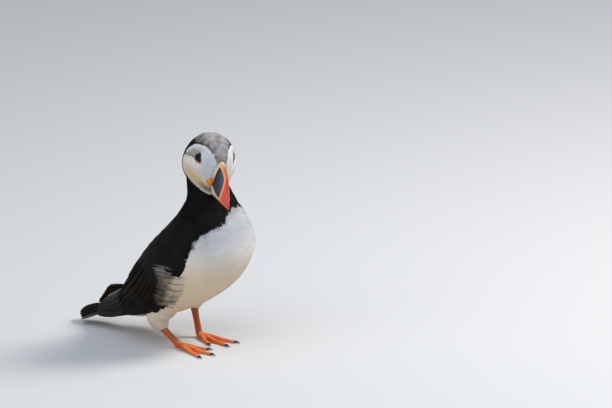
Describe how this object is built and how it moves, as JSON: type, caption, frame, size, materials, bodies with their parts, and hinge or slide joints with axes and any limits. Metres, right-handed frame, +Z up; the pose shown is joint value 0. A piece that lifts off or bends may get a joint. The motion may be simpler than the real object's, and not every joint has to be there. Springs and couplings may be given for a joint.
{
  "type": "atlantic puffin",
  "caption": "Life-size still model of an atlantic puffin standing with folded wings and its head turned to its right.",
  "frame": {"origin": "middle of the bounding box in plan, on the floor under the soles", "axes": "+X the way the body faces, +Y the bird's left, +Z up"},
  "size_m": [0.1944, 0.0974, 0.2002],
  "materials": {
    "white_plumage": "soft white feathers",
    "dark_plumage": "black feathers with a faint sheen",
    "face_plumage": "short pale grey feathers, darker crown",
    "bill_horn": "grooved horn, satin",
    "gape_skin": "wrinkled bare skin",
    "eye": "wet and glossy",
    "leg_skin": "scaly bare skin",
    "claw_horn": "smooth dark horn"
  },
  "bodies": {
    "root": {"trunk": "white_plumage", "thigh_right": "white_plumage", "thigh_left": "white_plumage", "neck": "dark_plumage", "wing_right": "dark_plumage", "wing_left": "dark_plumage", "tail": "dark_plumage", "head": "face_plumage", "bill_upper": "bill_horn", "bill_lower": "bill_horn", "rosette_right": "gape_skin", "rosette_left": "gape_skin", "eye_right": "eye", "eye_left": "eye", "shank_right": "leg_skin", "shank_left": "leg_skin", "foot_right": "leg_skin", "foot_left": "leg_skin", "claw_inner_right": "claw_horn", "claw_middle_right": "claw_horn", "claw_outer_right": "claw_horn", "claw_inner_left": "claw_horn", "claw_middle_left": "claw_horn", "claw_outer_left": "claw_horn"}
  },
  "joints": []
}
